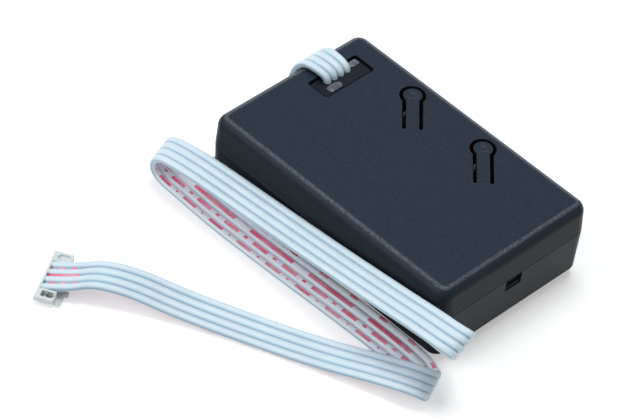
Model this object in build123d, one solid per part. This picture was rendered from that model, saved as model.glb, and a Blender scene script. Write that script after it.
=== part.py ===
from build123d import *
from math import atan, cos, degrees, radians, sin, sqrt, tan
import os

# Garage door controller: a snap-together plastic case on four rubber feet, two
# button tongues over push switches, and a flat four-wire cable to a six-way plug.
# Millimetres, Z up. X runs along the case, Y across it, and the origin is on the
# table under the middle of the case. The cable comes out near the -X end.

# Case
case_length = 79.4
case_width = 50.0
base_height = 12.85
lid_height = 8.65
corner_radius = 3.5
base_draft = 0.55
lid_draft = 0.4
base_edge_round = 1.2
lid_edge_round = 3.0
wall = 2.0
floor_thickness = 2.0
lid_skin = 2.0
overrun = 1.0
seam_width = 0.25

# Lip of the lid inside the base, with its four snap beads
lip_depth = 2.4
lip_thickness = 1.0
lip_root = 1.5
lip_clearance = 0.15
bead_radius = 0.4
bead_length = 8.0
bead_drop = 1.4
bead_spacing = 44.0

# Pry notch under the parting line, on the +X end
notch_width = 5.35
notch_offset = -0.175
notch_height = 2.7
notch_gap = 0.35
notch_depth = 1.1
notch_step_height = 0.8
notch_step_depth = 0.5
notch_lip_margin = 0.4

# Rubber feet
foot_height = 2.2
foot_radius = 2.5
foot_edge_round = 0.4
foot_end_inset = 18.7
foot_side_inset = 5.2

# Cable window through the lid
window_end_inset = 9.8
window_side_inset = 16.025
window_length_x = 6.9
window_length_y = 16.45
window_corner_radius = 0.8

# Button tongues: a disc on an arm, inside a keyhole slot, over a push switch
button_a_x = -13.95
button_b_x = 10.15
button_inset = 7.1
disc_radius = 2.375
slot_width = 0.95
arm_half_width = 1.6
arm_length = 11.65
root_gap = 0.05
tongue_thickness = 1.8
dimple_radius = 1.4
dimple_depth = 0.35
nub_radius = 1.2
nub_gap = 0.08

# Circuit board on four posts
board_end_gap = 2.7
board_side_gap = 2.0
board_thickness = 1.6
board_corner_radius = 1.5
post_height = 6.4
post_radius = 2.5
post_inset = 3.5

# Board screws
screw_radius = 1.0
screw_length = 5.4
screw_head_radius = 1.9
screw_head_height = 1.3
screw_head_round = 0.5
screw_clearance = 0.2
pilot_clearance = 0.05
pilot_depth = 5.0
recess_length = 2.2
recess_width = 0.5
recess_depth = 0.7

# Push switches
switch_size = 6.0
switch_height = 3.5
switch_edge = 0.4
switch_leg_reach = 1.0
switch_leg_width = 0.7
switch_leg_thickness = 0.2
switch_leg_spacing = 4.5
plunger_radius = 1.7
plunger_clearance = 0.05
plunger_rise = 1.5
plunger_hold = 0.7
plunger_bore_depth = 1.3

# Board header, its pins and the cable's plug
cable_pitch = 2.54
cable_wires = 4
header_offset_x = -1.0
header_offset_y = -0.225
header_width = 2.5
header_height = 2.5
header_margin = 0.05
pin_size = 0.64
pin_clearance = 0.1
pin_tail = 1.2
pin_rise = 5.0
plug_width = 4.0
plug_wall = 0.9
plug_bore_depth = 1.0
plug_gap = 0.6
plug_drop = 0.5
plug_flange_height = 1.6
entry_share = 0.86

# Clear adhesive dabs on the plug, in front of the cable and beside it: place, then length and width
dab_places = [(-28.5, 5.5, 2.6, 4.6), (-31.7, 15.0, 2.2, 3.3)]
dab_height = 0.4
dab_round = 0.3

# Parts on the circuit board
radio_x = 17.0
radio_y = -8.0
radio_length = 24.0
radio_width = 16.0
radio_thickness = 0.8
can_offset = -3.0
can_length = 15.0
can_width = 12.0
can_height = 2.2
can_round = 0.5

chip_x = -4.5
chip_y = -4.0
chip_size = 7.0
chip_height = 1.2
chip_edge = 0.25
chip_leg_count = 8
chip_leg_pitch = 0.8
chip_leg_width = 0.35
chip_leg_reach = 1.0
chip_leg_thickness = 0.2

opto_x = -20.5
opto_y = 2.25
opto_spacing = 6.5
opto_length = 6.5
opto_width = 4.6
opto_height = 3.5
opto_edge = 0.4
opto_leg_reach = 1.0
opto_leg_width = 0.6
opto_leg_thickness = 0.25

regulator_x = -19.5
regulator_y = -10.5
regulator_length = 6.5
regulator_width = 3.5
regulator_height = 1.6
regulator_tab_width = 3.0
regulator_lead_width = 0.7
regulator_lead_pitch = 2.3
regulator_lead_reach = 1.75
regulator_lead_thickness = 0.3

inductor_x = -28.0
inductor_y = -2.6
inductor_size = 6.0
inductor_height = 3.0
inductor_corner = 1.4
inductor_core_radius = 2.2
inductor_core_drop = 0.25

capacitor_x = -28.3
capacitor_y = -9.9
capacitor_radius = 3.15
capacitor_height = 7.7
capacitor_base = 6.6
capacitor_base_height = 1.3
capacitor_base_corner = 1.2
capacitor_groove = 0.3
capacitor_groove_height = 2.2
capacitor_edge_round = 0.5

crystal_x = -4.5
crystal_y = -13.5
crystal_length = 11.0
crystal_width = 4.6
crystal_height = 3.6
crystal_flange = 0.4

passive_length = 1.6
passive_width = 0.8
passive_height = 0.55
passive_columns = 5
passive_rows = 2
passive_step_x = 3.0
passive_step_y = 3.5
passive_x = -2.0
passive_y = 8.0

# Flat cable and the six-way plug on its free end, which lies on the table
wire_radius = 0.875
arc_share = 0.45
end_x = -37.32
end_y = -75.29
end_angle = 30.3
end_height = 2.6
end_depth = 6.3
channel_level = 1.6
end_channels = 6
end_margin = 1.715
end_back_wall = 0.6
end_nose_drop = 0.7
end_nose_length = 1.0
end_ledge_depth = 1.5
end_ledge_height = 0.65
end_chamfer = 1.3
channel_clearance = 0.08
channel_wall_height = 1.5
pocket_inset = 1.35
pocket_length = 3.2
blank_radius = 1.1
blank_length = 1.2
blank_depth = 0.5
mating_hole = 1.0
mating_depth = 0.6
end_tab_y = -2.9
end_tab_width = 1.2
end_tab_reach = 0.8
end_tab_height = 0.8
contact_x = 0.3
contact_spacing = 1.7
contact_thickness = 0.35
contact_clearance = 0.05
contact_drop = 0.25
contact_slit_width = 0.65
contact_bar_width = 0.6
contact_bar_lift = 0.07

# Middle of the flat cable, then the step from one wire to the next in pitches.
# From the plug on the board it arches out of the window and drops past the -X end.
# There it folds to one side, wraps round the corner and runs along the front on edge.
# Past the +X end it folds back over itself, loops down to the table, runs to the
# last fold and ends in the six-way plug.
cable_route = [
    (-30.9, 8.75, 22.2, 0.0, -0.86, 0.0),
    (-30.9, 8.75, 23.0, 0.0, -0.86, 0.0),
    (-31.5, 8.7, 24.4, 0.0, -0.9, 0.05),
    (-34.0, 8.5, 25.1, 0.0, -0.96, 0.04),
    (-38.3, 8.3, 24.9, 0.0, -1.0, 0.0),
    (-41.2, 8.3, 21.0, 0.0, -1.0, 0.0),
    (-42.4, 8.3, 15.0, 0.0, -1.0, 0.0),
    (-44.3, 8.3, 10.0, 0.0, -1.0, 0.0),
    (-44.4, 8.3, 4.4, 0.0, -1.0, -0.85),
    (-40.9, 8.0, 4.4, 0.0, -1.0, -0.85),
    (-41.3, -4.0, 3.9, -0.2, 0.0, -0.76),
    (-42.3, -17.0, 3.1, -0.52, 0.0, -0.56),
    (-41.0, -25.9, 5.8, -0.2, -0.2, -0.7),
    (-34.0, -26.0, 6.2, 0.0, 0.0, -0.88),
    (-18.0, -26.0, 7.1, 0.06, 0.0, -0.96),
    (4.0, -26.0, 9.2, 0.11, 0.0, -0.98),
    (22.0, -26.0, 11.3, 0.12, 0.0, -0.98),
    (35.0, -26.1, 13.1, 0.12, 0.0, -0.94),
    (42.4, -26.3, 13.8, 0.1, -0.26, -0.8),
    (47.6, -26.4, 15.4, -0.04, -0.62, -0.48),
    (50.9, -29.2, 19.7, 0.14, -0.84, -0.24),
    (46.4, -30.3, 20.3, 0.04, -0.96, -0.08),
    (40.0, -30.0, 19.4, 0.0, -1.0, -0.02),
    (26.0, -30.05, 17.6, 0.0, -1.0, 0.0),
    (4.0, -30.1, 15.1, 0.0, -1.0, 0.0),
    (-18.0, -30.0, 12.9, 0.0, -1.0, 0.0),
    (-33.4, -30.6, 12.2, 0.04, -1.0, 0.0),
    (-43.1, -31.2, 11.4, 0.2, -0.97, 0.0),
    (-49.2, -31.1, 9.4, 0.36, -0.93, 0.0),
    (-51.8, -29.9, 3.8, 0.36, -0.93, 0.0),
    (-49.0, -29.4, 1.0, 0.3, -0.95, 0.0),
    (-42.0, -29.4, 0.9, 0.14, -0.98, 0.0),
    (-28.0, -29.9, 0.95, 0.0, -1.0, 0.0),
    (-8.0, -29.3, 0.9, -0.04, -1.0, 0.0),
    (12.0, -28.4, 0.95, -0.04, -1.0, 0.0),
    (28.0, -27.9, 0.9, 0.04, -1.0, 0.0),
    (37.0, -28.3, 0.95, 0.18, -0.97, 0.0),
    (43.3, -30.0, 1.4, 0.38, -0.94, 0.0),
    (45.7, -32.1, 3.4, 0.44, -0.92, 0.0),
    (42.9, -34.2, 4.8, 0.44, -0.91, 0.0),
    (34.0, -37.3, 3.4, 0.42, -0.91, 0.0),
    (20.0, -43.2, 1.2, 0.42, -0.91, 0.0),
    (2.0, -51.2, 1.0, 0.42, -0.91, 0.0),
    (-13.0, -58.6, 2.2, 0.42, -0.91, 0.0),
    (-22.0, -63.7, 4.7, 0.42, -0.91, 0.0),
    (-29.5, -69.0, 5.6, 0.46, -0.89, 0.0),
    (-33.79, -73.23, 3.6, 0.5045, -0.8634, 0.0),
    (-39.33, -76.46, 1.9, 0.5045, -0.8634, 0.0),
]

# Levels, upwards from the table
base_bottom = foot_height
floor_top = base_bottom + floor_thickness
board_bottom = floor_top + post_height
board_top = board_bottom + board_thickness
parting = base_bottom + base_height
lid_top = parting + lid_height
ceiling = lid_top - lid_skin
switch_top = board_top + switch_height
plunger_top = switch_top + plunger_rise
tongue_bottom = lid_top - tongue_thickness
header_top = board_top + header_height
plug_top = lid_top - plug_drop
flange_bottom = plug_top - plug_flange_height

# Plan sizes that follow from the ones above
window_x = window_end_inset - case_length / 2
window_y = case_width / 2 - window_side_inset
button_y = case_width / 2 - button_inset
foot_x = case_length / 2 - foot_end_inset
foot_y = case_width / 2 - foot_side_inset
board_length = case_length - 2 * (wall + board_end_gap)
board_width = case_width - 2 * (wall + board_side_gap)
post_x = board_length / 2 - post_inset
post_y = board_width / 2 - post_inset
header_x = window_x + header_offset_x
header_y = window_y + header_offset_y
slot_radius = disc_radius + slot_width
inner_radius = corner_radius - wall
header_length = cable_wires * cable_pitch - 2 * header_margin
plug_length = (cable_wires - 1) * cable_pitch + 2 * (wire_radius + channel_clearance + plug_wall)
flange_length = window_length_y - 2 * plug_gap
flange_width = window_length_x - 2 * plug_gap
flange_radius = window_corner_radius - plug_gap
end_length = (end_channels - 1) * cable_pitch + 2 * end_margin
channel_radius = wire_radius + channel_clearance


def tapered_block(length, width, radius, height, inset, level, direction):
    """Rounded block from a level, upwards (1) or downwards (-1), narrower at its far end."""
    plane = Plane(origin=(0, 0, level), x_dir=(1, 0, 0), z_dir=(0, 0, direction))
    profile = plane * RectangleRounded(length, width, radius)
    return extrude(profile, amount=height, taper=degrees(atan(inset / height)))


def block(x, y, bottom, length, width, height):
    """Plain box by the middle of its underside."""
    return Pos(x, y, bottom) * Box(length, width, height, align=(Align.CENTER, Align.CENTER, Align.MIN))


def rod(x, y, bottom, radius, height):
    """Upright cylinder by the middle of its underside."""
    return Pos(x, y, bottom) * Cylinder(radius, height, align=(Align.CENTER, Align.CENTER, Align.MIN))


def four_corners(x, y):
    """The four places at plus and minus x and y."""
    return [(sx * x, sy * y) for sx in (-1, 1) for sy in (-1, 1)]


def wire_offsets():
    """Places of the cable's wires across it, in pitches."""
    return [index - (cable_wires - 1) / 2 for index in range(cable_wires)]


# Snap beads and their grooves

def snap_bars(radius):
    """Two bars along each long side of the lip, at the beads' height."""
    bars = []
    side = case_width / 2 - wall - lip_clearance
    for y in (-side, side):
        for x in (-bead_spacing / 2, bead_spacing / 2):
            bars.append(Pos(x, y, parting - bead_drop) * Rot(0, 90, 0) * Cylinder(radius, bead_length))
    return bars


# Lower case

def base_shell():
    shell = tapered_block(case_length, case_width, corner_radius, base_height, base_draft, parting, -1)
    bottom_edges = shell.edges().group_by(Axis.Z)[0]
    shell = fillet(bottom_edges, base_edge_round)
    shell = chamfer(shell.edges().group_by(Axis.Z)[-1], seam_width)
    depth = base_height - floor_thickness
    inset = base_draft * depth / base_height
    shell -= tapered_block(case_length - 2 * wall, case_width - 2 * wall, inner_radius, depth, inset, parting, -1)
    for x, y in four_corners(post_x, post_y):
        shell += rod(x, y, floor_top, post_radius, post_height)
    for x, y in four_corners(post_x, post_y):
        shell -= rod(x, y, board_bottom - pilot_depth, screw_radius + pilot_clearance, pilot_depth + overrun)
    for bar in snap_bars(bead_radius + lip_clearance):
        shell -= bar
    notch_top = parting - notch_gap
    end = case_length / 2
    shell -= Pos(end, notch_offset, notch_top - notch_height / 2) * Box(2 * notch_depth, notch_width, notch_height)
    step_middle = notch_top - notch_height - notch_step_height / 2
    shell -= Pos(end, notch_offset, step_middle) * Box(2 * notch_step_depth, notch_width, notch_step_height)
    return shell


# Upper case

def button_plane(x, level):
    """Plane at a button's disc, with its X axis along the arm towards the root."""
    return Plane(origin=(x, button_y, level), x_dir=(1, -1, 0), z_dir=(0, 0, 1))


def keyhole_outline():
    """Everything that the tongue and its slot take out of the lid."""
    ring = Circle(slot_radius)
    arm = Pos(arm_length / 2, 0) * Rectangle(arm_length, 2 * arm_half_width)
    reach = arm_length + slot_width / 2
    slots = Sketch()
    for side in (-1, 1):
        y = side * (arm_half_width + slot_width / 2)
        slots += Pos(reach / 2, y) * SlotOverall(reach, slot_width)
    return ring + arm + slots


def lid_lip():
    """Rim inside the base, with a wider root that joins it to the lid's wall."""
    inner_length = case_length - 2 * wall
    inner_width = case_width - 2 * wall
    gap = 2 * lip_clearance
    bore_length = inner_length - gap - 2 * lip_thickness
    bore_width = inner_width - gap - 2 * lip_thickness
    low = Pos(0, 0, parting - lip_depth)
    bore = RectangleRounded(bore_length, bore_width, inner_radius - lip_clearance - lip_thickness)
    rim = RectangleRounded(inner_length - gap, inner_width - gap, inner_radius - lip_clearance)
    root = RectangleRounded(inner_length + wall, inner_width + wall, inner_radius + wall / 2)
    lip = extrude(low * rim, amount=lip_depth)
    lip += extrude(Pos(0, 0, parting) * root, amount=lip_root)
    lip -= extrude(low * bore, amount=lip_depth + lip_root)
    for bar in snap_bars(bead_radius):
        lip += bar
    notch_cut_width = notch_width + 2 * notch_lip_margin
    lip -= block(case_length / 2 - wall, notch_offset, parting - lip_depth, 2 * wall, notch_cut_width, lip_depth)
    return lip


def lid():
    shell = tapered_block(case_length, case_width, corner_radius, lid_height, lid_draft, parting, 1)
    shell = fillet(shell.edges().group_by(Axis.Z)[-1], lid_edge_round)
    depth = lid_height - lid_skin
    inset = lid_draft * depth / lid_height
    cavity = tapered_block(case_length - 2 * wall, case_width - 2 * wall, inner_radius, depth, inset, parting, 1)
    cavity = fillet(cavity.edges().group_by(Axis.Z)[-1], lid_edge_round - wall)
    shell -= cavity
    shell += lid_lip()
    window = RectangleRounded(window_length_x, window_length_y, window_corner_radius)
    shell -= extrude(Pos(window_x, window_y, ceiling - overrun) * window, amount=lid_skin + 2 * overrun)
    for x in (button_a_x, button_b_x):
        outline = button_plane(x, ceiling - overrun) * keyhole_outline()
        shell -= extrude(outline, amount=lid_skin + 2 * overrun)
    return shell


def button_tongue(x):
    """Disc, arm and the nub that reaches down to the switch."""
    reach = arm_length - root_gap
    outline = Circle(disc_radius) + Pos(reach / 2, 0) * Rectangle(reach, 2 * arm_half_width)
    tongue = extrude(button_plane(x, tongue_bottom) * outline, amount=tongue_thickness)
    nub_bottom = plunger_top + nub_gap
    tongue += rod(x, button_y, nub_bottom, nub_radius, tongue_bottom - nub_bottom + tongue_thickness / 2)
    ball_radius = (dimple_radius ** 2 + dimple_depth ** 2) / (2 * dimple_depth)
    tongue -= Pos(x, button_y, lid_top - dimple_depth + ball_radius) * Sphere(ball_radius)
    return tongue


# Feet

def rubber_feet():
    feet = Part()
    for x, y in four_corners(foot_x, foot_y):
        foot = rod(x, y, 0, foot_radius, foot_height)
        feet += fillet(foot.edges().group_by(Axis.Z)[0], foot_edge_round)
    return feet


# Circuit board and its screws

def circuit_board():
    board = extrude(Pos(0, 0, board_bottom) * RectangleRounded(board_length, board_width, board_corner_radius),
                    amount=board_thickness)
    drill = board_thickness + 2 * overrun
    for x, y in four_corners(post_x, post_y):
        board -= rod(x, y, board_bottom - overrun, screw_radius + screw_clearance, drill)
    for offset in wire_offsets():
        y = header_y + offset * cable_pitch
        board -= rod(header_x, y, board_bottom - overrun, pin_size * sqrt(2) / 2 + pin_clearance, drill)
    return board


def board_screws():
    screws = Part()
    for x, y in four_corners(post_x, post_y):
        head = rod(x, y, board_top, screw_head_radius, screw_head_height)
        head = fillet(head.edges().group_by(Axis.Z)[-1], screw_head_round)
        recess_bottom = board_top + screw_head_height - recess_depth
        for length, width in ((recess_length, recess_width), (recess_width, recess_length)):
            head -= block(x, y, recess_bottom, length, width, recess_depth + overrun)
        shank = rod(x, y, board_top - screw_length, screw_radius, screw_length)
        screws += head + shank
    return screws


# Push switches

def tact_switch(x):
    body = block(x, button_y, board_top, switch_size, switch_size, switch_height)
    body = chamfer(body.edges().filter_by(Axis.Z), switch_edge)
    body -= rod(x, button_y, switch_top - plunger_bore_depth, plunger_radius + plunger_clearance,
                plunger_bore_depth + overrun)
    span = switch_size + 2 * switch_leg_reach
    for y in (-switch_leg_spacing / 2, switch_leg_spacing / 2):
        body += block(x, button_y + y, board_top, span, switch_leg_width, switch_leg_thickness)
    return body


def switch_plunger(x):
    bottom = switch_top - plunger_hold
    return rod(x, button_y, bottom, plunger_radius, plunger_top - bottom)


# Header, plug and adhesive

def board_header():
    header = block(header_x, header_y, board_top, header_width, header_length, header_height)
    for offset in wire_offsets():
        y = header_y + offset * cable_pitch
        size = pin_size + 2 * pin_clearance
        header -= block(header_x, y, board_top - overrun, size, size, header_height + 2 * overrun)
    return header


def header_pins():
    pins = Part()
    for offset in wire_offsets():
        y = header_y + offset * cable_pitch
        bottom = board_bottom - pin_tail
        pins += block(header_x, y, bottom, pin_size, pin_size, pin_tail + board_thickness + pin_rise)
    return pins


def ribbon_plug():
    """Socket over the pins, with a flange that closes the window round the cable."""
    plug = block(header_x, header_y, header_top, plug_width, plug_length, plug_top - header_top)
    flange = Pos(window_x, window_y, flange_bottom) * RectangleRounded(flange_width, flange_length, flange_radius)
    plug += extrude(flange, amount=plug_flange_height)
    socket_size = pin_size + 2 * pin_clearance
    socket_depth = board_top + pin_rise - header_top + pin_clearance
    for offset in wire_offsets():
        y = header_y + offset * cable_pitch
        plug -= block(header_x, y, header_top - overrun, socket_size, socket_size, socket_depth + overrun)
        y = header_y + offset * entry_share * cable_pitch
        plug -= rod(header_x, y, plug_top - plug_bore_depth, channel_radius, plug_bore_depth + overrun)
    return plug


def glue_bead():
    """Flat dabs with rounded rims on the plug's flange."""
    dabs = Part()
    for x, y, length, width in dab_places:
        dab = block(x, y, plug_top, length, width, dab_height)
        dab = chamfer(dab.edges().filter_by(Axis.Z), dab_round)
        dabs += fillet(dab.edges().group_by(Axis.Z)[-1], dab_round)
    return dabs


# Parts on the circuit board

def radio_board():
    return block(radio_x, radio_y, board_top, radio_length, radio_width, radio_thickness)


def radio_shield_can():
    can = block(radio_x + can_offset, radio_y, board_top + radio_thickness, can_length, can_width, can_height)
    return fillet(can.edges().group_by(Axis.Z)[-1], can_round)


def microcontroller():
    body = block(chip_x, chip_y, board_top, chip_size, chip_size, chip_height)
    body = chamfer(body.edges().group_by(Axis.Z)[-1], chip_edge)
    span = chip_size + 2 * chip_leg_reach
    for index in range(chip_leg_count):
        offset = (index - (chip_leg_count - 1) / 2) * chip_leg_pitch
        body += block(chip_x, chip_y + offset, board_top, span, chip_leg_width, chip_leg_thickness)
        body += block(chip_x + offset, chip_y, board_top, chip_leg_width, span, chip_leg_thickness)
    return body


def optocouplers():
    pair = Part()
    for side in (-1, 1):
        y = opto_y + side * opto_spacing / 2
        body = block(opto_x, y, board_top, opto_length, opto_width, opto_height)
        body = chamfer(body.edges().group_by(Axis.Z)[-1], opto_edge)
        for leg in (-cable_pitch / 2, cable_pitch / 2):
            span = opto_length + 2 * opto_leg_reach
            body += block(opto_x, y + leg, board_top, span, opto_leg_width, opto_leg_thickness)
        pair += body
    return pair


def voltage_regulator():
    body = block(regulator_x, regulator_y, board_top, regulator_length, regulator_width, regulator_height)
    lead_y = (regulator_width + regulator_lead_reach) / 2
    body += block(regulator_x, regulator_y + lead_y, board_top, regulator_tab_width, regulator_lead_reach,
                  regulator_lead_thickness)
    for index in (-1, 0, 1):
        x = regulator_x + index * regulator_lead_pitch
        body += block(x, regulator_y - lead_y, board_top, regulator_lead_width, regulator_lead_reach,
                      regulator_lead_thickness)
    return body


def power_inductor():
    body = block(inductor_x, inductor_y, board_top, inductor_size, inductor_size, inductor_height)
    body = chamfer(body.edges().filter_by(Axis.Z), inductor_corner)
    top = board_top + inductor_height
    body -= rod(inductor_x, inductor_y, top - inductor_core_drop, inductor_core_radius, overrun)
    return body


def electrolytic_capacitor():
    base = block(capacitor_x, capacitor_y, board_top, capacitor_base, capacitor_base, capacitor_base_height)
    side = base.edges().filter_by(Axis.Z).group_by(Axis.X)[-1]
    base = chamfer(side, capacitor_base_corner)
    can_height_above = capacitor_height - capacitor_base_height
    can = rod(capacitor_x, capacitor_y, board_top + capacitor_base_height, capacitor_radius, can_height_above)
    can = fillet(can.edges().group_by(Axis.Z)[-1], capacitor_edge_round)
    groove = Torus(capacitor_radius, capacitor_groove)
    can -= Pos(capacitor_x, capacitor_y, board_top + capacitor_groove_height) * groove
    return base + can


def crystal():
    flange_length = crystal_length + 2 * crystal_flange
    flange_width = crystal_width + 2 * crystal_flange
    flange = SlotOverall(flange_length, flange_width)
    can = SlotOverall(crystal_length, crystal_width)
    place = Pos(crystal_x, crystal_y, board_top)
    return extrude(place * flange, amount=crystal_flange) + extrude(place * can, amount=crystal_height)


def chip_parts():
    chips = Part()
    for column in range(passive_columns):
        for row in range(passive_rows):
            x = passive_x + (column - (passive_columns - 1) / 2) * passive_step_x
            y = passive_y + (row - (passive_rows - 1) / 2) * passive_step_y
            chips += block(x, y, board_top, passive_width, passive_length, passive_height)
    return chips


# Flat cable

def wire_path(offset):
    """Straight runs joined by tangent arcs, for the wire at this place across the cable."""
    points = []
    for x, y, z, step_x, step_y, step_z in cable_route:
        reach = offset * cable_pitch
        points.append(Vector(x + reach * step_x, y + reach * step_y, z + reach * step_z))
    radii = []
    for before, corner, after in zip(points, points[1:], points[2:]):
        shorter = min((corner - before).length, (after - corner).length)
        half_turn = radians((corner - before).get_angle(after - corner)) / 2
        radii.append(arc_share * shorter / tan(half_turn))
    return FilletPolyline(*points, radius=radii), radii


def ribbon_cable():
    """Four insulated wires side by side; their thin web is too fine to model here."""
    wires = Part()
    for offset in wire_offsets():
        path, radii = wire_path(offset)
        section = Plane(origin=path @ 0, z_dir=path % 0) * Circle(wire_radius)
        wire = sweep(section, path=path)
        expected = section.area * path.length
        print("wire", offset, "length", round(path.length, 1), "volume share", round(wire.volume / expected, 4))
        print("  radii", [round(radius, 1) for radius in radii])
        wires += wire
    return wires


# Six-way plug on the free end

def end_plane(level):
    """Plane at the end plug, with its X axis from the mating face towards the cable."""
    angle = radians(end_angle)
    return Plane(origin=(end_x, end_y, level), x_dir=(cos(angle), sin(angle), 0), z_dir=(0, 0, 1))


def channel_places():
    """Places of the channels along the plug."""
    return [(index - (end_channels - 1) / 2) * cable_pitch for index in range(end_channels)]


def connector_housing():
    """Flat plug: channels for the four wires, a pocket at one end, a blank place at the other, a low ledge."""
    half = end_depth / 2
    block_end = half - end_ledge_depth
    profile = Polyline(
        (-half, end_height),
        (block_end, end_height),
        (block_end, end_ledge_height),
        (half, end_ledge_height),
        (half, 0),
        (-half + end_nose_length, 0),
        (-half, end_nose_drop),
        close=True,
    )
    side = Plane(origin=(0, -end_length / 2, 0), x_dir=(1, 0, 0), z_dir=(0, -1, 0))
    body = extrude(side * make_face(profile), amount=-end_length)
    lowest = body.edges().filter_by(Axis.X).group_by(Axis.Z)[0]
    body = chamfer(lowest, end_chamfer)
    channel_length = block_end + half - end_back_wall + overrun
    channel_middle = block_end + overrun - channel_length / 2
    mating_middle = (end_nose_drop + end_height) / 2
    places = channel_places()
    for y in places:
        body -= Pos(-half, y, mating_middle) * Box(2 * mating_depth, mating_hole, mating_hole)
    pocket_middle = pocket_inset - half + pocket_length / 2
    body -= block(pocket_middle, places[0], channel_level - channel_radius, pocket_length, 2 * channel_radius, end_height)
    recess = SlotCenterToCenter(blank_length, 2 * blank_radius)
    body -= extrude(Pos(pocket_middle, places[-1], end_height - blank_depth) * recess, amount=end_height)
    for y in places[1:-1]:
        body -= Pos(channel_middle, y, channel_level) * Rot(0, 90, 0) * Cylinder(channel_radius, channel_length)
        body -= block(channel_middle, y, channel_level, channel_length, 2 * channel_radius, end_height)
    inner_span = (cable_wires - 1) * cable_pitch
    body -= block(channel_middle, 0, channel_wall_height, channel_length, inner_span, end_height)
    body += block(half + end_tab_reach / 2, end_tab_y, 0, end_tab_reach, end_tab_width, end_tab_height)
    return end_plane(0).location * body


def contact_fork(x, y):
    """Forked plate across a channel, whose slit grips a wire."""
    plane = Plane(origin=(x, y, channel_level), x_dir=(0, 1, 0), z_dir=(1, 0, 0))
    radius = channel_radius - contact_clearance
    rise = end_height - channel_level - contact_drop
    outline = Circle(radius) + Pos(0, rise / 2) * Rectangle(2 * radius, rise)
    outline &= Pos(0, (rise - radius) / 2) * Rectangle(2 * radius, rise + radius)
    slit_height = rise + contact_slit_width
    outline -= Pos(0, rise - slit_height / 2) * Rectangle(contact_slit_width, slit_height)
    return extrude(plane * outline, amount=contact_thickness / 2, both=True)


def connector_contacts():
    contacts = Part()
    bar_height = channel_radius - contact_clearance - contact_slit_width
    for y in channel_places()[:-1]:
        contact = block(contact_x, y, channel_level - channel_radius + contact_clearance + contact_bar_lift,
                        contact_spacing, contact_bar_width, bar_height)
        for side in (-1, 1):
            contact += contact_fork(contact_x + side * contact_spacing / 2, y)
        contacts += contact
    return end_plane(0).location * contacts


parts = {
    "base_shell": base_shell(),
    "lid": lid(),
    "rubber_feet": rubber_feet(),
    "circuit_board": circuit_board(),
    "board_screws": board_screws(),
    "button_tongue_a": button_tongue(button_a_x),
    "button_tongue_b": button_tongue(button_b_x),
    "tact_switch_a": tact_switch(button_a_x),
    "tact_switch_b": tact_switch(button_b_x),
    "switch_plunger_a": switch_plunger(button_a_x),
    "switch_plunger_b": switch_plunger(button_b_x),
    "radio_board": radio_board(),
    "radio_shield_can": radio_shield_can(),
    "microcontroller": microcontroller(),
    "optocouplers": optocouplers(),
    "voltage_regulator": voltage_regulator(),
    "power_inductor": power_inductor(),
    "electrolytic_capacitor": electrolytic_capacitor(),
    "crystal": crystal(),
    "chip_parts": chip_parts(),
    "board_header": board_header(),
    "header_pins": header_pins(),
    "ribbon_plug": ribbon_plug(),
    "glue_bead": glue_bead(),
    "ribbon_cable": ribbon_cable(),
    "connector_housing": connector_housing(),
    "connector_contacts": connector_contacts(),
}

os.makedirs("parts", exist_ok=True)
for name, shape in parts.items():
    export_step(shape, f"parts/{name}.step")
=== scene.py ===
from math import asin, cos, pi, radians, sin

import bpy
from mathutils import Matrix, Vector


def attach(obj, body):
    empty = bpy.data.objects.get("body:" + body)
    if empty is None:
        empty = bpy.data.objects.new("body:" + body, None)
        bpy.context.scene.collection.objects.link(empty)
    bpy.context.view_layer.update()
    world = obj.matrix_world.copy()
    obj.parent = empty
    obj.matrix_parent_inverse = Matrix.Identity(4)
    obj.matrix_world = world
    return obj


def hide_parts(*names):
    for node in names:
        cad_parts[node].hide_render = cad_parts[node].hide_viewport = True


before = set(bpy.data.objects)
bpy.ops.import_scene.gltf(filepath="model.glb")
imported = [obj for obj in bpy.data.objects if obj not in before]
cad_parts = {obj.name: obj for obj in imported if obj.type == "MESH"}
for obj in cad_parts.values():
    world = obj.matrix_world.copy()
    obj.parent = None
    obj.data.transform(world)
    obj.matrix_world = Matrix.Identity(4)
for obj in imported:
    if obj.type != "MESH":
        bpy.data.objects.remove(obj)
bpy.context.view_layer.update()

mm = 0.001


# Camera, at the photograph's angle

camera_azimuth = radians(41.96)
camera_elevation = radians(44.33)
camera_roll = radians(6.23)
camera_place = Vector((0.42008, -0.49672, 0.63850))
camera_lens = 216.1
sensor_width = 36.0
clip_near = 0.01
clip_far = 20.0


def add_camera():
    """Camera whose axes come from its azimuth, elevation and roll."""
    back = Vector((
        sin(camera_azimuth) * cos(camera_elevation),
        -cos(camera_azimuth) * cos(camera_elevation),
        sin(camera_elevation),
    ))
    level_right = (-back).cross(Vector((0, 0, 1))).normalized()
    level_up = level_right.cross(-back)
    right = cos(camera_roll) * level_right + sin(camera_roll) * level_up
    up = -sin(camera_roll) * level_right + cos(camera_roll) * level_up
    data = bpy.data.cameras.new("camera")
    data.lens = camera_lens
    data.sensor_width = sensor_width
    data.clip_start = clip_near
    data.clip_end = clip_far
    camera = bpy.data.objects.new("camera", data)
    turn = Matrix((right, up, back)).transposed()
    camera.matrix_world = Matrix.Translation(camera_place) @ turn.to_4x4()
    bpy.context.scene.collection.objects.link(camera)
    bpy.context.scene.camera = camera


# Small helpers for shader nodes

black = (0.0, 0.0, 0.0)
white = (1.0, 1.0, 1.0)
noise_detail = 2.0


def new_material(name):
    """A node material with its tree and its shader."""
    material = bpy.data.materials.new(name)
    material.use_nodes = True
    tree = material.node_tree
    shader = tree.nodes["Principled BSDF"]
    return material, tree, shader


def add_node(tree, kind, **settings):
    """A new node with these settings."""
    node = tree.nodes.new(kind)
    for key, value in settings.items():
        setattr(node, key, value)
    return node


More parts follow.
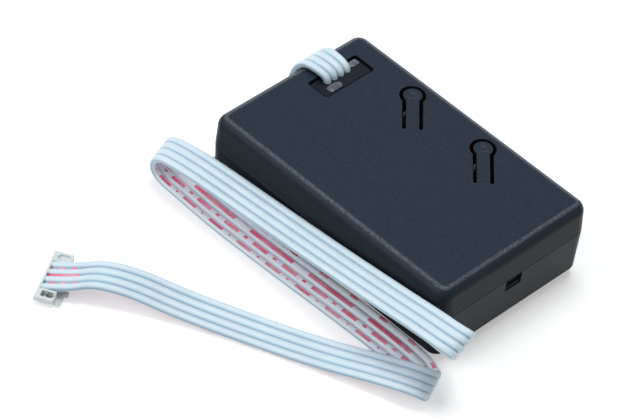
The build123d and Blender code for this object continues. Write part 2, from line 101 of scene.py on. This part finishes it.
def object_noise(tree, scale, detail=noise_detail):
    """Noise in the object's own space, at so many cells a metre."""
    place = add_node(tree, "ShaderNodeTexCoord")
    noise = add_node(tree, "ShaderNodeTexNoise")
    noise.inputs["Scale"].default_value = scale
    noise.inputs["Detail"].default_value = detail
    tree.links.new(place.outputs["Object"], noise.inputs["Vector"])
    return noise.outputs["Fac"]


def colour_ramp(tree, source, stops):
    """Colour from a ramp of (place, colour) pairs, driven by one output."""
    ramp = add_node(tree, "ShaderNodeValToRGB")
    elements = ramp.color_ramp.elements
    while len(elements) < len(stops):
        elements.new(1.0)
    for element, (place, colour) in zip(elements, stops):
        element.position = place
        element.color = (*colour, 1.0)
    tree.links.new(source, ramp.inputs["Fac"])
    return ramp.outputs["Color"]


def two_tones(tree, source, stops, low, high):
    """Ramp from a low colour to a high one between two stops."""
    return colour_ramp(tree, source, list(zip(stops, (low, high))))


def set_surface(tree, shader, colour, roughness):
    """Give the shader its colour, from an output, and its roughness."""
    tree.links.new(colour, shader.inputs["Base Color"])
    shader.inputs["Roughness"].default_value = roughness


def bump_from(tree, source, shader, strength, distance):
    """Fine relief from one output."""
    bump = add_node(tree, "ShaderNodeBump")
    bump.inputs["Strength"].default_value = strength
    bump.inputs["Distance"].default_value = distance
    tree.links.new(source, bump.inputs["Height"])
    tree.links.new(bump.outputs["Normal"], shader.inputs["Normal"])


def math_node(tree, operation, first, second):
    """One Math node; each operand is a number or an output."""
    node = add_node(tree, "ShaderNodeMath", operation=operation)
    for socket, value in zip(node.inputs, (first, second)):
        if isinstance(value, (int, float)):
            socket.default_value = value
        else:
            tree.links.new(value, socket)
    return node.outputs[0]


def between(tree, value, low, high):
    """1 where the value lies between low and high."""
    above = math_node(tree, "GREATER_THAN", value, low)
    below = math_node(tree, "LESS_THAN", value, high)
    return math_node(tree, "MULTIPLY", above, below)


def mix_colours(tree, factor, first, second, blend="MIX"):
    """Mix of two colours, each an output or a written colour."""
    mix = add_node(tree, "ShaderNodeMix", data_type="RGBA", blend_type=blend)
    for socket, value in (("Factor", factor), ("A", first), ("B", second)):
        if isinstance(value, float):
            mix.inputs[socket].default_value = value
        elif isinstance(value, tuple):
            mix.inputs[socket].default_value = (*value, 1.0)
        else:
            tree.links.new(value, mix.inputs[socket])
    return mix.outputs["Result"]


# Materials; scales are in cells a metre

tone_spread = 0.12
grain_stops = (0.3, 0.7)
grain_detail = 3.0
grain_depth = 0.05 * mm
usual_specular = 0.5


def moulded_plastic(name, colour, roughness, grain_scale, grain, specular=usual_specular):
    """Plastic with a fine spark-eroded grain and a slight drift of tone."""
    material, tree, shader = new_material(name)
    fine = object_noise(tree, grain_scale, grain_detail)
    low = tuple(c * (1 - tone_spread) for c in colour)
    high = tuple(c * (1 + tone_spread) for c in colour)
    set_surface(tree, shader, two_tones(tree, fine, grain_stops, low, high), roughness)
    shader.inputs["Specular IOR Level"].default_value = specular
    bump_from(tree, fine, shader, grain, grain_depth)
    return material


case_grain_scale = 2600.0
case_grain = 0.7
case_roughness = 0.34
case_specular = 0.09
case_dark = (0.014, 0.022, 0.036)
case_light = (0.024, 0.037, 0.060)
# Painted highlight: how strongly the grain breaks the rim's light band into specks
highlight_speck_floor = (0.15, 0.15, 0.15)
highlight_speck_stops = (0.34, 0.7)
# Painted shade: the sides' colour is multiplied by this, so they come out blacker and less blue
# than the top
painted_side_shade = (0.60, 0.54, 0.44)
# By how far a face turns upwards: 0 on the sides, 1 on the top; over this the painted shade of the
# sides fades out
side_shade_stops = (0.4, 0.86)
# Painted highlight: where the light band lies on the rounded rim, by how far a face turns upwards
rim_highlight_stops = [(0.80, black), (0.91, white), (0.95, white), (0.985, black)]


def case_finish(name, highlight_colour):
    """Grained blue-grey plastic; painted shade makes the sides blacker than the top, and a painted
    highlight lies in specks along the rounded rim.
    """
    material, tree, shader = new_material(name)
    grain = object_noise(tree, case_grain_scale, grain_detail)
    base = two_tones(tree, grain, grain_stops, case_dark, case_light)
    highlight_specks = two_tones(tree, grain, highlight_speck_stops, highlight_speck_floor, white)
    facing = add_node(tree, "ShaderNodeTexCoord")
    parts = add_node(tree, "ShaderNodeSeparateXYZ")
    tree.links.new(facing.outputs["Normal"], parts.inputs[0])
    upward = parts.outputs["Z"]
    # Painted highlight along the rounded rim, broken into specks by the grain
    painted_rim_highlight = math_node(tree, "MULTIPLY", colour_ramp(tree, upward, rim_highlight_stops), highlight_specks)
    # Painted shade on faces that turn away from above
    shade = two_tones(tree, upward, side_shade_stops, painted_side_shade, white)
    side_shaded = mix_colours(tree, 1.0, base, shade, "MULTIPLY")
    finished = mix_colours(tree, painted_rim_highlight, side_shaded, highlight_colour)
    set_surface(tree, shader, finished, case_roughness)
    shader.inputs["Specular IOR Level"].default_value = case_specular
    bump_from(tree, grain, shader, case_grain, grain_depth)
    return material


plating_shade = 0.86
plating_stops = (0.35, 0.65)
plating_detail = 4.0
plating_relief = 0.1
plating_depth = 0.02 * mm


def plated_metal(name, colour, roughness, scale):
    """Metal whose plating is slightly cloudy."""
    material, tree, shader = new_material(name)
    cloud = object_noise(tree, scale, plating_detail)
    low = tuple(c * plating_shade for c in colour)
    set_surface(tree, shader, two_tones(tree, cloud, plating_stops, low, colour), roughness)
    shader.inputs["Metallic"].default_value = 1.0
    bump_from(tree, cloud, shader, plating_relief, plating_depth)
    return material


copper_scale = 260.0
copper_stops = [(0.25, (0.010, 0.055, 0.030)), (0.45, (0.016, 0.095, 0.048))]
copper_relief = 0.15
copper_depth = 0.03 * mm
mask_roughness = 0.3


def solder_mask(name):
    """Green lacquer over a faint pattern of copper fields."""
    material, tree, shader = new_material(name)
    place = add_node(tree, "ShaderNodeTexCoord")
    fields = add_node(tree, "ShaderNodeTexVoronoi", distance="CHEBYCHEV")
    fields.inputs["Scale"].default_value = copper_scale
    tree.links.new(place.outputs["Object"], fields.inputs["Vector"])
    away = fields.outputs["Distance"]
    set_surface(tree, shader, colour_ramp(tree, away, copper_stops), mask_roughness)
    bump_from(tree, away, shader, copper_relief, copper_depth)
    return material


rubber_scale = 9000.0
rubber_stops = [(0.35, (0.012, 0.012, 0.012)), (0.7, (0.024, 0.024, 0.025))]
rubber_roughness = 0.75
rubber_relief = 0.25
rubber_depth = 0.04 * mm


def rubber(name):
    """Dull black rubber."""
    material, tree, shader = new_material(name)
    speckle = object_noise(tree, rubber_scale)
    set_surface(tree, shader, colour_ramp(tree, speckle, rubber_stops), rubber_roughness)
    bump_from(tree, speckle, shader, rubber_relief, rubber_depth)
    return material


glue_scale = 400.0
glue_detail = 1.0
glue_stops = [(0.3, (0.014, 0.022, 0.045)), (0.75, (0.06, 0.09, 0.17))]
glue_roughness = 0.08
glue_coat_roughness = 0.04
glue_relief = 0.4
glue_depth = 0.3 * mm


def clear_adhesive(name):
    """Hot-melt dab: glossy and uneven, in the colour of the dark plug seen through it."""
    material, tree, shader = new_material(name)
    waves = object_noise(tree, glue_scale, glue_detail)
    set_surface(tree, shader, colour_ramp(tree, waves, glue_stops), glue_roughness)
    shader.inputs["Coat Weight"].default_value = 1.0
    shader.inputs["Coat Roughness"].default_value = glue_coat_roughness
    bump_from(tree, waves, shader, glue_relief, glue_depth)
    return material


nylon_scale = 500.0
nylon_stops = [(0.35, (0.66, 0.74, 0.75)), (0.7, (0.74, 0.80, 0.80))]
nylon_roughness = 0.32
nylon_relief = 0.08
scatter_share = 0.3
scatter_colour = (0.8, 0.9, 1.0)
scatter_reach = 1.0 * mm


def nylon(name):
    """Natural nylon: off-white, faintly translucent and slightly cloudy."""
    material, tree, shader = new_material(name)
    cloud = object_noise(tree, nylon_scale, grain_detail)
    set_surface(tree, shader, colour_ramp(tree, cloud, nylon_stops), nylon_roughness)
    shader.inputs["Subsurface Weight"].default_value = scatter_share
    shader.inputs["Subsurface Radius"].default_value = scatter_colour
    shader.inputs["Subsurface Scale"].default_value = scatter_reach
    bump_from(tree, cloud, shader, nylon_relief, grain_depth)
    return material


# Print on the flat cable's inner side; places across are counted in wires

jacket_colour = (0.69, 0.83, 0.92)
jacket_shade_colour = (0.65, 0.79, 0.88)
# Painted light: the printed side's ground is whiter than the jacket's own colour
printed_side_light_colour = (0.85, 0.93, 1.0)
print_colour = (0.84, 0.14, 0.25)
pale_print_colour = (0.92, 0.40, 0.50)
# A groove's place between two wires, then its painted shade by the distance from there
groove_place = 0.5
groove_shade_stops = [(0.0, (0.42, 0.52, 0.60)), (0.05, (0.68, 0.78, 0.84)), (0.16, white)]
# Share of the painted groove shade that the printed side loses
printed_groove_shade_loss = 0.55
jacket_roughness = 0.42
jacket_relief = 0.05
jacket_stops = (0.35, 0.65)
print_stops = (0.4, 0.62)
cloud_scale = 160.0
wear_scale = 2600.0
wear_share = 0.3
rib_scale = 1800.0
print_step = 9.9 * mm
short_bar = 4.8 * mm
long_bar = 14.5 * mm
long_step = 19.75 * mm
# Each row of print: wire, step, start, bar length and half width
print_rows = [
    (2.0, long_step, 1.6 * mm, long_bar, 0.24),
    (3.0, print_step, 4.5 * mm, short_bar, 0.23),
    (4.0, print_step, 1.5 * mm, short_bar, 0.2),
    (3.0, print_step, 1.3 * mm, 1.2 * mm, 0.15),
    (4.0, print_step, 8.4 * mm, 0.8 * mm, 0.12),
    (1.0, print_step, 2.0 * mm, 2.6 * mm, 0.2),
]
# Ink that shows between the parted wires near the plug
bare_length = 8.0 * mm
middle_web = 2.5
middle_web_half = 0.06
dash_step = 2.9 * mm
dash_length = 1.6 * mm
dash_half = 0.03
dash_rows = [(1.5, 0.2 * mm), (3.5, 1.1 * mm)]


def printed_bars(tree, along, across, wire, step, start, length, half_width):
    """A row of printed bars on one wire."""
    phase = math_node(tree, "WRAP", math_node(tree, "SUBTRACT", along, start), step)
    phase.node.inputs[2].default_value = 0.0
    in_bar = between(tree, phase, 0.0, length)
    in_wire = between(tree, across, wire - half_width, wire + half_width)
    return math_node(tree, "MULTIPLY", in_bar, in_wire)


def side_ink(tree, along, across, side):
    """Bars and marks on the printed side, with worn specks."""
    ink = printed_bars(tree, along, across, *print_rows[0])
    for row in print_rows[1:]:
        ink = math_node(tree, "MAXIMUM", ink, printed_bars(tree, along, across, *row))
    wear = object_noise(tree, wear_scale, grain_detail)
    left = math_node(tree, "GREATER_THAN", wear, wear_share)
    return math_node(tree, "MULTIPLY", math_node(tree, "MULTIPLY", ink, side), left)


def web_ink(tree, along, across, length):
    """Ink in the gaps between the wires near the plug."""
    ink = between(tree, across, middle_web - middle_web_half, middle_web + middle_web_half)
    for gap, start in dash_rows:
        dashes = printed_bars(tree, along, across, gap, dash_step, start, dash_length, dash_half)
        ink = math_node(tree, "MAXIMUM", ink, dashes)
    near_plug = math_node(tree, "GREATER_THAN", along, length - bare_length)
    return math_node(tree, "MULTIPLY", near_plug, ink)


def groove_shade(tree, across):
    """Painted shade: grey in the grooves between the wires, and white on their crests."""
    part = math_node(tree, "FRACT", across, 0.0)
    away = math_node(tree, "ABSOLUTE", math_node(tree, "SUBTRACT", part, groove_place), 0.0)
    return colour_ramp(tree, away, groove_shade_stops)


def cable_jacket(name, length):
    """Pale soft jacket with painted shade in its grooves, weaker on the printed side, whose ground
    is painted lighter; that side carries pink bars and small marks.
    """
    material, tree, shader = new_material(name)
    place = add_node(tree, "ShaderNodeUVMap", uv_map="cable")
    parts = add_node(tree, "ShaderNodeSeparateXYZ")
    tree.links.new(place.outputs["UV"], parts.inputs[0])
    along = parts.outputs["X"]
    across = parts.outputs["Y"]
    side = add_node(tree, "ShaderNodeAttribute", attribute_name="printed_side").outputs["Fac"]
    cloud = object_noise(tree, cloud_scale)
    jacket = two_tones(tree, cloud, jacket_stops, jacket_shade_colour, jacket_colour)
    tone = two_tones(tree, cloud, print_stops, print_colour, pale_print_colour)
    # Painted light: the printed side made whiter than the rest of the jacket
    lit_ground = mix_colours(tree, side, jacket, printed_side_light_colour)
    loss = math_node(tree, "MULTIPLY", side, printed_groove_shade_loss)
    groove_shade_strength = math_node(tree, "SUBTRACT", 1.0, loss)
    shaded = mix_colours(tree, groove_shade_strength, lit_ground, groove_shade(tree, across), "MULTIPLY")
    printed = side_ink(tree, along, across, side)
    ink = math_node(tree, "MAXIMUM", printed, web_ink(tree, along, across, length))
    set_surface(tree, shader, mix_colours(tree, ink, shaded, tone), jacket_roughness)
    bump_from(tree, object_noise(tree, rib_scale), shader, jacket_relief, grain_depth)
    return material


# Flat cable: its route is the solid's, as control points of a smooth line, apart from one hidden
# point at the case's corner that lies 1 mm lower here so that it doesn't show.
# Each row is the cable's middle in millimetres, then the step from wire to wire in pitches.

cable_pitch = 2.54 * mm
wire_radius = 0.875 * mm
web_thickness = 0.24 * mm
cable_wires = 4
cable_route = [
    (-30.9, 8.75, 22.2, 0.0, -0.86, 0.0),
    (-30.9, 8.75, 23.0, 0.0, -0.86, 0.0),
    (-31.5, 8.7, 24.4, 0.0, -0.9, 0.05),
    (-34.0, 8.5, 25.1, 0.0, -0.96, 0.04),
    (-38.3, 8.3, 24.9, 0.0, -1.0, 0.0),
    (-41.2, 8.3, 21.0, 0.0, -1.0, 0.0),
    (-42.4, 8.3, 15.0, 0.0, -1.0, 0.0),
    (-44.3, 8.3, 10.0, 0.0, -1.0, 0.0),
    (-44.4, 8.3, 4.4, 0.0, -1.0, -0.85),
    (-40.9, 8.0, 4.4, 0.0, -1.0, -0.85),
    (-41.3, -4.0, 3.9, -0.2, 0.0, -0.76),
    (-42.3, -17.0, 3.1, -0.52, 0.0, -0.56),
    (-41.0, -25.9, 4.8, -0.2, -0.2, -0.7),
    (-34.0, -26.0, 6.2, 0.0, 0.0, -0.88),
    (-18.0, -26.0, 7.1, 0.06, 0.0, -0.96),
    (4.0, -26.0, 9.2, 0.11, 0.0, -0.98),
    (22.0, -26.0, 11.3, 0.12, 0.0, -0.98),
    (35.0, -26.1, 13.1, 0.12, 0.0, -0.94),
    (42.4, -26.3, 13.8, 0.1, -0.26, -0.8),
    (47.6, -26.4, 15.4, -0.04, -0.62, -0.48),
    (50.9, -29.2, 19.7, 0.14, -0.84, -0.24),
    (46.4, -30.3, 20.3, 0.04, -0.96, -0.08),
    (40.0, -30.0, 19.4, 0.0, -1.0, -0.02),
    (26.0, -30.05, 17.6, 0.0, -1.0, 0.0),
    (4.0, -30.1, 15.1, 0.0, -1.0, 0.0),
    (-18.0, -30.0, 12.9, 0.0, -1.0, 0.0),
    (-33.4, -30.6, 12.2, 0.04, -1.0, 0.0),
    (-43.1, -31.2, 11.4, 0.2, -0.97, 0.0),
    (-49.2, -31.1, 9.4, 0.36, -0.93, 0.0),
    (-51.8, -29.9, 3.8, 0.36, -0.93, 0.0),
    (-49.0, -29.4, 1.0, 0.3, -0.95, 0.0),
    (-42.0, -29.4, 0.9, 0.14, -0.98, 0.0),
    (-28.0, -29.9, 0.95, 0.0, -1.0, 0.0),
    (-8.0, -29.3, 0.9, -0.04, -1.0, 0.0),
    (12.0, -28.4, 0.95, -0.04, -1.0, 0.0),
    (28.0, -27.9, 0.9, 0.04, -1.0, 0.0),
    (37.0, -28.3, 0.95, 0.18, -0.97, 0.0),
    (43.3, -30.0, 1.4, 0.38, -0.94, 0.0),
    (45.7, -32.1, 3.4, 0.44, -0.92, 0.0),
    (42.9, -34.2, 4.8, 0.44, -0.91, 0.0),
    (34.0, -37.3, 3.4, 0.42, -0.91, 0.0),
    (20.0, -43.2, 1.2, 0.42, -0.91, 0.0),
    (2.0, -51.2, 1.0, 0.42, -0.91, 0.0),
    (-13.0, -58.6, 2.2, 0.42, -0.91, 0.0),
    (-22.0, -63.7, 4.7, 0.42, -0.91, 0.0),
    (-29.5, -69.0, 5.6, 0.46, -0.89, 0.0),
    (-33.79, -73.23, 3.6, 0.5045, -0.8634, 0.0),
    (-39.33, -76.46, 1.9, 0.5045, -0.8634, 0.0),
]
line_steps = 14
line_order = 3


def smooth_line(points):
    """Points along the smooth curve that has these control points."""
    curve = bpy.data.curves.new("line", "CURVE")
    curve.dimensions = "3D"
    curve.resolution_u = line_steps
    spline = curve.splines.new("NURBS")
    spline.points.add(len(points) - 1)
    for place, point in zip(spline.points, points):
        place.co = (*point, 1.0)
    spline.order_u = line_order
    spline.use_endpoint_u = True
    carrier = bpy.data.objects.new("line", curve)
    mesh = bpy.data.meshes.new_from_object(carrier)
    line = [vertex.co.copy() for vertex in mesh.vertices]
    bpy.data.meshes.remove(mesh)
    bpy.data.objects.remove(carrier)
    bpy.data.curves.remove(curve)
    return line


def wire_line(offset):
    """Smooth line of the wire this many pitches from the cable's middle."""
    reach = offset * cable_pitch
    points = []
    for x, y, z, step_x, step_y, step_z in cable_route:
        point = (x * mm + reach * step_x, y * mm + reach * step_y, z * mm + reach * step_z)
        points.append(Vector(point))
    return smooth_line(points)


arc_steps = 8
notch_share = 0.93
edge_stretch = 1.1
# The wires part over this stretch, measured back from the plug's end
split_start = 13.0 * mm
split_end = 8.0 * mm


def cable_section():
    """Outline of the lobed strip as (wire, angle) pairs, over the top and back below."""
    notch = asin(web_thickness / 2 / wire_radius)
    outline = []
    for wire in range(cable_wires):
        start = pi if wire == 0 else pi - notch
        end = 0.0 if wire == cable_wires - 1 else notch
        for step in range(arc_steps + 1):
            outline.append((wire, start + (end - start) * step / arc_steps))
    for wire in reversed(range(cable_wires)):
        start = 0.0 if wire == cable_wires - 1 else -notch
        end = -pi if wire == 0 else -pi + notch
        for step in range(arc_steps + 1):
            place = (wire, start + (end - start) * step / arc_steps)
            if place[1] != 0.0 and place[1] != -pi:
                outline.append(place)
    return outline


def lobe_reach(lines, wire, angle, i, split):
    """Half width of a wire's lobe: almost to the gap's middle, or round where the wires part."""
    neighbour = wire + (1 if cos(angle) > 0 else -1)
    if neighbour < 0 or neighbour >= cable_wires:
        return edge_stretch * wire_radius
    gap = (lines[neighbour][i] - lines[wire][i]).length
    notch = asin(web_thickness / 2 / wire_radius)
    wide = notch_share * gap / 2 / cos(notch)
    return wide + split * (min(wide, edge_stretch * wire_radius) - wide)


def split_share(left):
    """0 in the flat cable and 1 where its wires part, this far from the plug's end."""
    return min(1.0, max(0.0, (split_start - left) / (split_start - split_end)))


def middle_line(lines):
    """The cable's middle line, and the length along it at each point."""
    count = len(lines[0])
    middle = [sum((line[i] for line in lines), Vector()) / cable_wires for i in range(count)]
    lengths = [0.0]
    for before, after in zip(middle, middle[1:]):
        lengths.append(lengths[-1] + (after - before).length)
    return middle, lengths


def cable_vertices(lines, middle, lengths, outline):
    """Points of the lobed section at every step along the cable."""
    vertices = []
    for i in range(len(middle)):
        split = split_share(lengths[-1] - lengths[i])
        before = max(i - 1, 0)
        after = min(i + 1, len(middle) - 1)
        ahead = (middle[after] - middle[before]).normalized()
        for wire, angle in outline:
            tangent = (lines[wire][after] - lines[wire][before]).normalized()
            across = lines[-1][i] - lines[0][i]
            across = (across - across.dot(tangent) * tangent).normalized()
            normal = across.cross(ahead).normalized()
            reach = cos(angle) * lobe_reach(lines, wire, angle, i, split)
            rise = wire_radius * sin(angle)
            vertices.append(lines[wire][i] + reach * across + rise * normal)
    return vertices


def cable_faces(count, ring):
    """Faces between the sections, and a cap at each end."""
    faces = []
    for i in range(count - 1):
        for j in range(ring):
            k = (j + 1) % ring
            faces.append((i * ring + j, i * ring + k, (i + 1) * ring + k, (i + 1) * ring + j))
    faces.append(tuple(reversed(range(ring))))
    faces.append(tuple((count - 1) * ring + j for j in range(ring)))
    return faces


def add_ribbon_cable():
    """The cable's mesh; returns it with its middle line and its length."""
    lines = [wire_line(index - (cable_wires - 1) / 2) for index in range(cable_wires)]
    middle, lengths = middle_line(lines)
    outline = cable_section()
    ring = len(outline)
    vertices = cable_vertices(lines, middle, lengths, outline)
    mesh = bpy.data.meshes.new("flat_cable")
    mesh.from_pydata(vertices, [], cable_faces(len(middle), ring))
    mesh.shade_smooth()
    add_cable_places(mesh, outline, lengths, ring)
    cable = bpy.data.objects.new("flat_cable", mesh)
    bpy.context.scene.collection.objects.link(cable)
    mesh.materials.append(cable_jacket("cable_jacket", lengths[-1]))
    return cable, middle, lengths[-1]


def add_cable_places(mesh, outline, lengths, ring):
    """Length along the cable and place across it, for the print."""
    layer = mesh.uv_layers.new(name="cable")
    side = mesh.attributes.new("printed_side", "FLOAT", "POINT")
    for index in range(len(mesh.vertices)):
        side.data[index].value = 1.0 if sin(outline[index % ring][1]) > 0 else 0.0
    for loop in mesh.loops:
        row, column = divmod(loop.vertex_index, ring)
        wire, angle = outline[column]
        layer.data[loop.index].uv = (lengths[row], wire + 1 + cos(angle) / 2)


# Glue dabs on the plug: place, then length and width, all in millimetres

dab_places = [(-28.5, 5.5, 2.6, 4.6), (-31.7, 15.0, 2.2, 3.3)]
dab_foot = 23.2 * mm
dab_height = 0.4 * mm
dab_rings = 16
dab_spokes = 48
dab_squareness = 0.65
dab_fullness = 0.7
dab_spread = 0.93
# Ripples of a dab's edge: share and number round it
coarse_ripple = (0.04, 3)
fine_ripple = (0.03, 5)
# Dents on its top: share, and steps along and across
dent_share = 0.35
dent_step_along = 1.7
dent_step_across = 2.2


def squared(part):
    """A sine or cosine pushed outwards, for a rounded-off rectangle."""
    return abs(part) ** dab_squareness * (1 if part > 0 else -1)


def ripple(kind, turn, shift):
    """In and out movement of a dab's edge at this turn."""
    share, number = kind
    return share * sin(number * turn + shift)


def dab_point(place, ring, spoke):
    """Point of a low uneven dome on a rounded-off rectangle."""
    x, y, length, width = place
    turn = 2 * pi * spoke / dab_spokes
    rise = pi / 2 * ring / dab_rings
    wave = dab_spread + ripple(coarse_ripple, turn, x) + ripple(fine_ripple, turn, y)
    out_x = squared(cos(turn)) * wave * cos(rise)
    out_y = squared(sin(turn)) * wave * cos(rise)
    waviness = abs(sin(dent_step_across * out_y + y)) * abs(cos(dent_step_along * out_x))
    dents = 1 - dent_share * waviness
    height = dab_height * sin(rise) ** dab_fullness * dents
    place_x = (x + out_x * length / 2) * mm
    place_y = (y + out_y * width / 2) * mm
    return Vector((place_x, place_y, dab_foot + height))


def add_glue_dabs():
    """Both dabs as closed domes in one mesh."""
    vertices = []
    faces = []
    for place in dab_places:
        first = len(vertices)
        for ring in range(dab_rings):
            for spoke in range(dab_spokes):
                vertices.append(dab_point(place, ring, spoke))
        vertices.append(dab_point(place, dab_rings, 0))
        for ring in range(dab_rings - 1):
            for spoke in range(dab_spokes):
                a = first + ring * dab_spokes + spoke
                b = first + ring * dab_spokes + (spoke + 1) % dab_spokes
                faces.append((a, b, b + dab_spokes, a + dab_spokes))
        top = first + dab_rings * dab_spokes
        last = top - dab_spokes
        for spoke in range(dab_spokes):
            faces.append((last + spoke, last + (spoke + 1) % dab_spokes, top))
        faces.append(tuple(first + spoke for spoke in reversed(range(dab_spokes))))
    mesh = bpy.data.meshes.new("glue_dabs")
    mesh.from_pydata(vertices, [], faces)
    mesh.shade_smooth()
    dabs = bpy.data.objects.new("glue_dabs", mesh)
    bpy.context.scene.collection.objects.link(dabs)
    mesh.materials.append(clear_adhesive("clear_adhesive"))
    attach(dabs, "case")
    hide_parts("glue_bead")


# Floor and light

floor_half = 4.0
floor_colour = (0.90, 0.90, 0.90)
floor_glow = 0.35
sky_strength = 0.34
# Each lamp: name, place, size, power and colour
lamps = [
    ("top", (-0.15, 0.22, 1.5), (0.7, 0.7), 11.0, (0.95, 0.99, 1.0)),
    ("side", (-0.8, -1.15, 1.0), (1.4, 1.2), 11.0, white),
]


def seen_rays(tree):
    """1 for rays that see the background straight on, in a mirror or through glass."""
    rays = add_node(tree, "ShaderNodeLightPath")
    seen = math_node(tree, "MAXIMUM", rays.outputs["Is Camera Ray"], rays.outputs["Is Glossy Ray"])
    return math_node(tree, "MAXIMUM", seen, rays.outputs["Is Transmission Ray"])


def add_floor():
    """Plain pale floor that keeps the object's shadow."""
    mesh = bpy.data.meshes.new("floor")
    signs = ((-1, -1), (1, -1), (1, 1), (-1, 1))
    corners = [(x * floor_half, y * floor_half, 0.0) for x, y in signs]
    mesh.from_pydata(corners, [], [(0, 1, 2, 3)])
    floor = bpy.data.objects.new("floor", mesh)
    bpy.context.scene.collection.objects.link(floor)
    material, tree, shader = new_material("floor_paper")
    shader.inputs["Base Color"].default_value = (*floor_colour, 1.0)
    shader.inputs["Roughness"].default_value = 1.0
    shader.inputs["Specular IOR Level"].default_value = 0.0
    shader.inputs["Emission Color"].default_value = (*white, 1.0)
    glow = math_node(tree, "MULTIPLY", seen_rays(tree), floor_glow)
    tree.links.new(glow, shader.inputs["Emission Strength"])
    mesh.materials.append(material)


def add_sky():
    """Soft white surroundings, at full strength only where they are seen."""
    world = bpy.data.worlds.new("studio")
    world.use_nodes = True
    tree = world.node_tree
    background = tree.nodes["Background"]
    background.inputs["Color"].default_value = (*white, 1.0)
    shown = math_node(tree, "MULTIPLY", seen_rays(tree), 1 - sky_strength)
    total = math_node(tree, "ADD", shown, sky_strength)
    tree.links.new(total, background.inputs["Strength"])
    bpy.context.scene.world = world


def add_lamp(name, place, size, power, colour):
    """Soft lamp that looks at the origin."""
    data = bpy.data.lights.new(name, "AREA")
    data.color = colour
    data.shape = "RECTANGLE"
    data.size = size[0]
    data.size_y = size[1]
    data.energy = power
    lamp = bpy.data.objects.new(name, data)
    lamp.location = place
    lamp.rotation_euler = (-Vector(place)).to_track_quat("-Z", "Y").to_euler()
    bpy.context.scene.collection.objects.link(lamp)


# Finishes of the CAD pieces

# Colours of the painted highlight along the rounded rims of the case and of the button tongues
rim_highlight_colour = (0.14, 0.16, 0.175)
tongue_rim_highlight_colour = (0.03, 0.045, 0.064)
# Each plastic: name, colour, roughness, grain scale, grain and specular
black_plastic = ("component_black", (0.008, 0.011, 0.018), 0.4, 7000.0, 0.25, 0.1)
plungers = {
    "switch_plunger_a": ("plunger_plastic", (0.60, 0.57, 0.50), 0.45, 5000.0, 0.1),
    "switch_plunger_b": ("plunger_plastic_b", (0.60, 0.57, 0.50), 0.45, 5000.0, 0.1),
}
# Each metal: name, colour, roughness and cloud scale
metals = {
    "board_screws": ("screw_steel", (0.62, 0.62, 0.60), 0.35, 900.0),
    "radio_shield_can": ("can_metal", (0.70, 0.70, 0.69), 0.28, 700.0),
    "electrolytic_capacitor": ("capacitor_can", (0.72, 0.72, 0.73), 0.3, 700.0),
    "crystal": ("crystal_can", (0.74, 0.73, 0.70), 0.22, 700.0),
    "header_pins": ("contact_brass", (0.85, 0.66, 0.32), 0.25, 900.0),
    "connector_contacts": ("contact_metal", (0.50, 0.52, 0.46), 0.32, 1200.0),
}


def finish_pieces():
    """Give each CAD piece its material; small parts of the board are black."""
    case_plastic = case_finish("case_plastic", rim_highlight_colour)
    tongue_plastic = case_finish("tongue_plastic", tongue_rim_highlight_colour)
    component_black = moulded_plastic(*black_plastic)
    finishes = {
        "base_shell": case_plastic,
        "lid": case_plastic,
        "button_tongue_a": tongue_plastic,
        "button_tongue_b": tongue_plastic,
        "rubber_feet": rubber("foot_rubber"),
        "circuit_board": solder_mask("board_laminate"),
        "radio_board": solder_mask("radio_laminate"),
        "connector_housing": nylon("connector_nylon"),
    }
    for name, plastic in plungers.items():
        finishes[name] = moulded_plastic(*plastic)
    for name, metal in metals.items():
        finishes[name] = plated_metal(*metal)
    for name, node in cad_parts.items():
        material = finishes.get(name, component_black)
        for slot in node.material_slots:
            slot.material = material


# Make everything

add_camera()
cable, cable_path, cable_length = add_ribbon_cable()
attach(cable, "case")
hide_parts("ribbon_cable")

add_glue_dabs()
finish_pieces()
add_floor()
add_sky()
for lamp in lamps:
    add_lamp(*lamp)

bpy.context.scene.view_settings.view_transform = "Standard"
